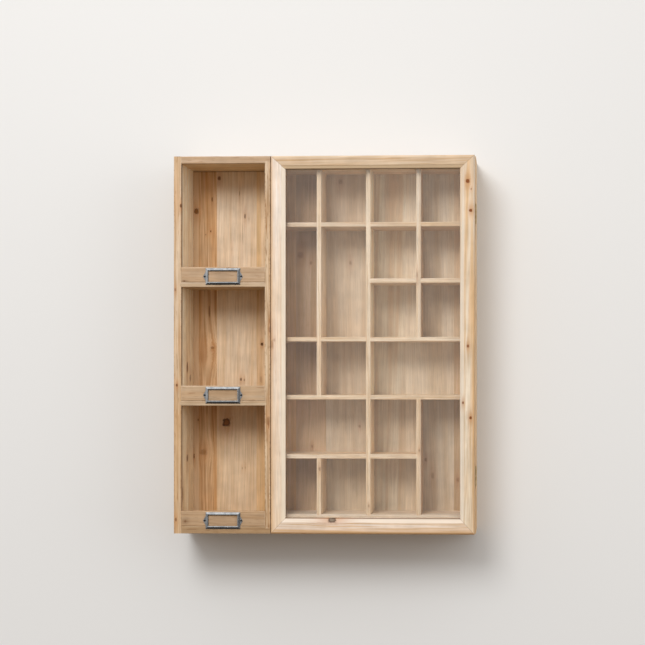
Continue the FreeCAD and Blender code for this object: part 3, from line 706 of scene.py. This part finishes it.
# Turned beech dowel: pinkish, with short dark flecks along the grain.
beechDowel = {"pale": "#d9b08a", "fleck": "#a97650", "fleckLength": 2.5, "fleckWidth": 0.5,
              "fleckRange": (0.55, 0.7), "roughness": 0.6}


def makeBeech(s):
    material, add = newMaterial("turnedBeech")
    spot = add("ShaderNodeTexCoord").outputs["Object"]
    scale = (1 / (s["fleckLength"] * mm), 1 / (s["fleckWidth"] * mm), 1 / (s["fleckWidth"] * mm))
    drawn = add(vectorMath, "MULTIPLY", {0: spot, 1: scale})
    noise = add(noiseTexture, links={"Vector": drawn, "Scale": 1.0, "Detail": 1.0})
    flecks = add(mapRange, links={"Value": noise, "From": s["fleckRange"]})
    colour = add(mixNode, ofColour, {"Factor": flecks, "A": linear(s["pale"]), "B": linear(s["fleck"])})
    shader = add(principled, links={"Base Color": colour, "Roughness": s["roughness"]})
    add(surfaceOut, links={"Surface": shader})
    return material


# Metals: colour, a second colour in blotches of the given mm, roughness range and fine relief.
sheetMetal = {"toneRange": (0.38, 0.62), "glossRange": (0.3, 0.7), "bumpStrength": 0.4}
dullZinc = {"name": "dullZincPlate", "base": "#b2b3b4", "blotch": "#94979a", "blotchSize": 7.0,
            "metallic": 0.9, "roughness": (0.22, 0.34), "grit": 1.2, "relief": 0.006}
darkPin = {"name": "darkenedSteelPin", "base": "#1e1d1c", "blotch": "#141312", "blotchSize": 2.0,
           "metallic": 0.2, "roughness": (0.42, 0.6), "grit": 0.5, "relief": 0.01}
agedBrass = {"name": "agedBrass", "base": "#d6bf94", "blotch": "#bba074", "blotchSize": 7.0,
             "metallic": 0.35, "roughness": (0.45, 0.6), "grit": 0.6, "relief": 0.02}
platedSteel = {"name": "zincPlatedSteel", "base": "#b9bcbe", "blotch": "#9a9ea2", "blotchSize": 6.0,
               "metallic": 0.6, "roughness": (0.26, 0.44), "grit": 0.7, "relief": 0.02}
nickelPlate = {"name": "nickelPlatedMagnet", "base": "#c6c2ba", "blotch": "#aeaaa2", "blotchSize": 3.0,
               "metallic": 0.7, "roughness": (0.16, 0.28), "grit": 0.5, "relief": 0.01}


def makeMetal(own):
    # plated or rolled sheet: cloudy tone, uneven gloss and a fine grit in the surface
    s = {**sheetMetal, **own}
    material, add = newMaterial(s["name"])
    spot = add("ShaderNodeTexCoord").outputs["Object"]
    cloud = add(noiseTexture,
                links={"Vector": spot, "Scale": 1 / (s["blotchSize"] * mm), "Detail": 3.0})
    tone = add(mapRange, links={"Value": cloud, "From": s["toneRange"]})
    colour = add(mixNode, ofColour, {"Factor": tone, "A": linear(s["base"]), "B": linear(s["blotch"])})
    grit = add(noiseTexture, links={"Vector": spot, "Scale": 1 / (s["grit"] * mm), "Detail": 2.0})
    gloss = add(mapRange, links={"Value": cloud, "From": s["glossRange"], "To": s["roughness"]})
    relief = add("ShaderNodeBump", links={
        "Strength": s["bumpStrength"], "Distance": s["relief"] * mm, "Height": grit})
    shader = add(principled, links={
        "Base Color": colour, "Metallic": s["metallic"], "Roughness": gloss, "Normal": relief})
    add(surfaceOut, links={"Surface": shader})
    return material


# Clear window glass: lets lamps through less what its two faces mirror.
windowGlass = {"tint": "#fbfaf9", "lampTint": "#fbfaf9", "ior": 1.5, "roughness": 0.01}


def makeGlass(s):
    material, add = newMaterial("clearWindowGlass")
    body = add(principled, links={
        "Base Color": linear(s["tint"]), "Roughness": s["roughness"], "IOR": s["ior"],
        "Transmission Weight": 1.0})
    through = add("ShaderNodeBsdfTransparent", links={"Color": linear(s["lampTint"])})
    ray = add("ShaderNodeLightPath").outputs["Is Shadow Ray"]
    shader = add("ShaderNodeMixShader", links={0: ray, 1: body, 2: through})
    add(surfaceOut, links={"Surface": shader})
    return material


zinc = makeMetal(dullZinc)
pinSteel = makeMetal(darkPin)
brass = makeMetal(agedBrass)
steel = makeMetal(platedSteel)
nickel = makeMetal(nickelPlate)
dress("case_dowels", makeBeech(beechDowel))
dress("door_glass", makeGlass(windowGlass))
metalNodes = {
    zinc: ("label_holder_upper", "label_holder_middle", "label_holder_lower"),
    pinSteel: ("label_pins",),
    brass: ("hinge_upper_case_leaf", "hinge_lower_case_leaf", "hinge_upper_door_leaf",
            "hinge_lower_door_leaf", "hinge_pins", "hinge_case_screws", "hinge_door_screws"),
    steel: ("hanger_left", "hanger_right", "hanger_screws", "catch_strikes"),
    nickel: ("catch_magnets",),
}
for metal, names in metalNodes.items():
    for name in names:
        dress(name, metal)
print("metals and glass dressed")


# Domed pins and countersunk screws: how round they are, and how their forms meet.
fastenerForm = {
    "domeSegments": 24,
    "domeRings": 16,
    "headSides": 32,
    "shankSides": 20,
    "recessReach": 1.2,  # in radii of the head
    "domeRoot": 0.3,  # where the shank starts, in heights of the head
    "sunkRoot": -0.85,
}


def makeFastenerTree(name, domed, s):
    # one fastener set on every point: a domed pin, or a countersunk screw with a cross recess
    tree, add, given = newGroup(name, "GeometryNodeTree", {
        "Points": "Geometry", "Head Radius": "Float", "Head Height": "Float", "Shank Radius": "Float",
        "Shank Length": "Float", "Recess Width": "Float", "Recess Depth": "Float", "Facing": "Vector",
        "Roll Seed": "Int", "Finish": "Material"}, {"Mesh": "Geometry"})
    headRadius, headHeight = given["Head Radius"], given["Head Height"]
    twice = add(plainMath, "MULTIPLY", {0: headRadius, 1: 2.0})
    if domed:
        ball = add("GeometryNodeMeshUVSphere", links={
            "Segments": s["domeSegments"], "Rings": s["domeRings"], "Radius": 1.0})
        flattened = add(joinAxes, links={"X": headRadius, "Y": headRadius, "Z": headHeight})
        form = add(moveMesh, links={"Geometry": ball, "Scale": flattened})
        wide = add(plainMath, "MULTIPLY", {0: twice, 1: 2.0})
        under = add(plainMath, "MULTIPLY", {0: twice, 1: -1.0})
        block = add("GeometryNodeMeshCube", links={
            "Size": add(joinAxes, links={"X": wide, "Y": wide, "Z": wide})})
        cutters = [add(moveMesh, links={
            "Geometry": block, "Translation": add(joinAxes, links={"Z": under})})]
        rootShare = s["domeRoot"]
    else:
        sink = add(plainMath, "MULTIPLY", {0: headHeight, 1: -1.0})
        cone = add("GeometryNodeMeshCone", links={
            "Vertices": s["headSides"], "Radius Top": headRadius,
            "Radius Bottom": given["Shank Radius"], "Depth": headHeight})
        form = add(moveMesh, links={"Geometry": cone, "Translation": add(joinAxes, links={"Z": sink})})
        deep = add(plainMath, "MULTIPLY", {0: given["Recess Depth"], 1: 2.0})
        armLength = add(plainMath, "MULTIPLY", {0: headRadius, 1: s["recessReach"]})
        armSize = add(joinAxes, links={"X": armLength, "Y": given["Recess Width"], "Z": deep})
        arm = add("GeometryNodeMeshCube", links={"Size": armSize})
        crossed = add(moveMesh, links={"Geometry": arm, "Rotation": (0.0, 0.0, math.radians(90.0))})
        cutters = [arm, crossed]
        rootShare = s["sunkRoot"]
    head = add("GeometryNodeMeshBoolean", {"operation": "DIFFERENCE", "solver": "EXACT"},
               {"Mesh 1": form, "Mesh 2": cutters})
    # the shank starts inside the head, so that the two join into one closed skin
    root = add(plainMath, "MULTIPLY", {0: headHeight, 1: rootShare})
    reach = add(plainMath, "ADD", {0: root, 1: given["Shank Length"]})
    middle = add(plainMath, "MULTIPLY_ADD", {0: reach, 1: -0.5, 2: root})
    rod = add("GeometryNodeMeshCylinder", links={
        "Vertices": s["shankSides"], "Radius": given["Shank Radius"], "Depth": reach})
    shank = add(moveMesh, links={"Geometry": rod, "Translation": add(joinAxes, links={"Z": middle})})
    whole = add("GeometryNodeMeshBoolean", {"operation": "UNION", "solver": "EXACT"},
                {1: [head, shank]})
    roll = add("FunctionNodeRandomValue", {"data_type": "FLOAT"}, {
        "Min": 0.0, "Max": math.tau, "Seed": given["Roll Seed"]})
    facing = add("FunctionNodeEulerToRotation", links={"Euler": given["Facing"]})
    rolled = add("FunctionNodeEulerToRotation", links={"Euler": add(joinAxes, links={"Z": roll})})
    turned = add("FunctionNodeRotateRotation", {"rotation_space": "LOCAL"}, {
        "Rotation": facing, "Rotate By": rolled})
    placed = add("GeometryNodeInstanceOnPoints", links={
        "Points": given["Points"], "Instance": whole, "Rotation": turned})
    real = add("GeometryNodeRealizeInstances", links={"Geometry": placed})
    finished = add("GeometryNodeSetMaterial", links={"Geometry": real, "Material": given["Finish"]})
    add(groupOut, links={"Mesh": finished})
    return tree


domedPinTree = makeFastenerTree("domedPin", True, fastenerForm)
crossScrewTree = makeFastenerTree("crossScrew", False, fastenerForm)


def setFasteners(name, body, node, tree, points, sizes, outward, seed, finish):
    # runs the tree on the points and keeps the result as one plain mesh in the CAD node's stead
    mesh = bpy.data.meshes.new(name + "Points")
    mesh.from_pydata(points, [], [])
    obj = bpy.data.objects.new(name, mesh)
    scene.collection.objects.link(obj)
    modifier = obj.modifiers.new("fasteners", "NODES")
    modifier.node_group = tree
    turn = math.radians(-90.0 * outward)
    given = {label: size * mm for label, size in sizes.items()}
    given.update({"Facing": (turn, 0.0, 0.0), "Roll Seed": seed, "Finish": finish})
    for item in tree.interface.items_tree:
        if item.in_out == "INPUT" and item.name in given:
            modifier[item.identifier] = given[item.name]
    ready = obj.evaluated_get(bpy.context.evaluated_depsgraph_get())
    obj.data = bpy.data.meshes.new_from_object(ready)
    obj.modifiers.remove(modifier)
    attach(obj, body)
    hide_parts(node)
    print(name, len(points), "set,", len(obj.data.polygons), "faces")


towardsRoom, towardsWall = -1, 1  # which way along Y a head looks
# sizes in mm, as in the solids they stand for; only here do the pins have heads
labelPin = {"Head Radius": 1.6, "Head Height": 1.1, "Shank Radius": 0.7, "Shank Length": 8.0}
labelEarTip = 2.2
hingeScrew = {"Head Radius": 1.9, "Head Height": 0.9, "Shank Radius": 1.0, "Shank Length": 10.0,
              "Recess Width": 0.45, "Recess Depth": 0.55}
hingeScrewRise = 11.0
hangerScrew = {"Head Radius": 2.6, "Head Height": 1.3, "Shank Radius": 1.3, "Shank Length": 8.0,
               "Recess Width": 0.6, "Recess Depth": 0.8}
hangerScrewInset = 6.0

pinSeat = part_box("label_pins")[0].y  # front face of the ears, on which the heads lie
pinPoints = []
for level in ("upper", "middle", "lower"):
    low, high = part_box("label_holder_" + level)
    for x in (low.x + labelEarTip * mm, high.x - labelEarTip * mm):
        pinPoints.append((x, pinSeat, (low.z + high.z) / 2))
setFasteners("labelPins", "case", "label_pins", domedPinTree, pinPoints, labelPin,
             outward=towardsRoom, seed=3, finish=pinSteel)

for side, outward in (("case", towardsRoom), ("door", towardsWall)):
    screws = "hinge_%s_screws" % side
    low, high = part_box(screws)
    seat = low.y if outward == towardsRoom else high.y
    points = []
    for level in ("upper", "lower"):
        leafLow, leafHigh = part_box("hinge_%s_%s_leaf" % (level, side))
        for rise in (-hingeScrewRise * mm, hingeScrewRise * mm):
            points.append(((low.x + high.x) / 2, seat, (leafLow.z + leafHigh.z) / 2 + rise))
    setFasteners(side + "HingeScrews", side, screws, crossScrewTree, points, hingeScrew,
                 outward=outward, seed=7, finish=brass)

hangerPoints = []
for side in ("left", "right"):
    low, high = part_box("hanger_" + side)
    for z in (low.z + hangerScrewInset * mm, high.z - hangerScrewInset * mm):
        hangerPoints.append(((low.x + high.x) / 2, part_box("hanger_screws")[1].y, z))
setFasteners("hangerScrews", "case", "hanger_screws", crossScrewTree, hangerPoints,
             hangerScrew, outward=towardsWall, seed=11, finish=steel)
print("fasteners set")

# Stage: a plain pale wall behind the cabinet, cut away where the case hides it, and a floor.
# Both are seen from their own side only, so the back of the cabinet can be looked at.
stage = {
    "wallColour": "#e0e0df",
    "floorColour": "#dedcd9",
    "wallHalf": 4.0,  # m
    "floorDrop": 1.3,  # m
    "wallGap": 0.5,  # mm
    "holeInset": 3.0,  # mm
}


def makeStageSurface(name, colour):
    material, add = newMaterial(name)
    matt = add("ShaderNodeBsdfDiffuse", links={"Color": linear(colour)})
    behind = add("ShaderNodeBsdfTransparent")
    hidden = add("ShaderNodeNewGeometry").outputs["Backfacing"]
    shader = add("ShaderNodeMixShader", links={0: hidden, 1: matt, 2: behind})
    add(surfaceOut, links={"Surface": shader})
    return material


def addStage(name, corners, faces, colour, shines):
    mesh = bpy.data.meshes.new(name)
    mesh.from_pydata(corners, [], faces)
    mesh.materials.append(makeStageSurface(name, colour))
    obj = bpy.data.objects.new(name, mesh)
    obj.visible_glossy = False
    obj.visible_diffuse = shines
    scene.collection.objects.link(obj)


def makeStage(s):
    low, high = cadBox
    floorZ = low.z - s["floorDrop"]
    wallY = s["wallGap"] * mm
    inset = s["holeInset"] * mm
    half = s["wallHalf"]
    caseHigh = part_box("right_side")[1]
    outer = ((-half, floorZ), (half, floorZ), (half, half), (-half, half))
    inner = ((low.x + inset, low.z + inset), (caseHigh.x - inset, low.z + inset),
             (caseHigh.x - inset, high.z - inset), (low.x + inset, high.z - inset))
    corners = [(x, wallY, z) for x, z in outer + inner]
    faces = [(i, (i + 1) % 4, 4 + (i + 1) % 4, 4 + i) for i in range(4)]
    addStage("wall", corners, faces, s["wallColour"], True)
    ground = [(x, y, floorZ) for x, y in
              ((-half, -2 * half), (half, -2 * half), (half, wallY), (-half, wallY))]
    addStage("floor", ground, [(0, 1, 2, 3)], s["floorColour"], False)


makeStage(stage)
print("stage built")

# A soft window light from the upper left, a wide weak fill from the right, a lamp behind for the
# rear views, and a room that is brighter above than below. Mirrors see it bright to the left and dim
# to the right, as beside a high window, and don't see the lamps.
lights = {
    "lamps": {  # azimuth from the front, elevation, distance, size, power
        "windowLight": (-15.0, 32.0, 3.2, 1.5, 57.0),
        "roomFill": (58.0, 8.0, 3.4, 2.4, 20.0),
        "rearLight": (160.0, 25.0, 2.6, 2.0, 16.0),
    },
    # from and to height, low and high strength; for mirrors also how they change from left to right
    "sky": ((-0.2, 0.8), (0.33, 1.2)),
    "mirror": ((-0.4, 0.55), (0.03, 1.3)),
    "mirrorAcross": ((-0.9, 0.9), (1.5, 0.45)),
    "lowTint": "#e2bb8c",
    "tintHeights": (-0.45, -0.05),
}


def makeLights(s):
    centre = (cadBox[0] + cadBox[1]) / 2
    for name, (azimuth, elevation, distance, size, power) in s["lamps"].items():
        turn, rise = math.radians(azimuth), math.radians(elevation)
        level = math.cos(rise)
        towards = Vector((math.sin(turn) * level, -math.cos(turn) * level, math.sin(rise)))
        lamp = bpy.data.lights.new(name, "AREA")
        lamp.shape = "DISK"
        lamp.size = size
        lamp.energy = power
        obj = bpy.data.objects.new(name, lamp)
        obj.location = centre + towards * distance
        obj.rotation_euler = (-towards).to_track_quat("-Z", "Y").to_euler()
        obj.visible_glossy = False
        obj.visible_transmission = False
        scene.collection.objects.link(obj)
    world = bpy.data.worlds.new("studio")
    world.use_nodes = True
    world.node_tree.nodes.clear()
    add = partial(addNode, world.node_tree)
    ray = add("ShaderNodeLightPath").outputs
    direction = add("ShaderNodeTexCoord").outputs["Generated"]
    axes = add(splitAxes, links={"Vector": direction}).outputs
    above, mirrorAbove, side = [
        add(mapRange, smooth, {"Value": axes[axis], "From": s[part][0], "To": s[part][1]})
        for part, axis in (("sky", "Z"), ("mirror", "Z"), ("mirrorAcross", "X"))]
    room = add(plainMath, "MULTIPLY", {0: mirrorAbove, 1: side})
    mirrored = add(mapRange, links={"Value": ray["Is Glossy Ray"], "To": (above, room)})
    # what is seen straight through the glass is background, what lights the wood behind it is the room
    unbounced = add(plainMath, "LESS_THAN", {0: ray["Diffuse Depth"], 1: 0.5})
    through = add(plainMath, "MULTIPLY", {0: ray["Is Transmission Ray"], 1: unbounced})
    direct = add(plainMath, "MAXIMUM", {0: ray["Is Camera Ray"], 1: through})
    seen = add(plainMath, "MAXIMUM", {0: mirrored, 1: direct})
    # light from below has come off wooden floors and is warm
    lifted = add(mapRange, smooth, {"Value": axes["Z"], "From": s["tintHeights"]})
    unseen = add(plainMath, "MAXIMUM", {0: direct, 1: ray["Is Glossy Ray"]})
    plain = add(plainMath, "MAXIMUM", {0: lifted, 1: unseen})
    tint = add(mixNode, ofColour, {"Factor": plain, "A": linear(s["lowTint"]), "B": (1, 1, 1, 1)})
    sky = add("ShaderNodeBackground", links={"Color": tint, "Strength": seen})
    add("ShaderNodeOutputWorld", links={"Surface": sky})
    scene.world = world


makeLights(lights)
scene.view_settings.view_transform = "Standard"
print("lights set")

# Camera as in the photograph: level, right of the cabinet's middle and below it.
# It turns a little towards it, and the rest of the framing is shift.
camera = {
    "place": (0.300, -2.5527, -0.3006),  # m
    "turn": 2.507,  # degrees to the left
    "focalPixels": 1498.3,
    "imagePixels": 645.0,
    "sensor": 36.0,  # mm
    "shift": (-0.185, 0.075),
}


def makeCamera(s):
    data = bpy.data.cameras.new("camera")
    data.sensor_width = s["sensor"]
    data.lens = s["focalPixels"] / s["imagePixels"] * s["sensor"]
    data.shift_x, data.shift_y = s["shift"]
    obj = bpy.data.objects.new("camera", data)
    obj.location = s["place"]
    obj.rotation_euler = (math.radians(90.0), 0.0, math.radians(s["turn"]))
    scene.collection.objects.link(obj)
    scene.camera = obj


makeCamera(camera)
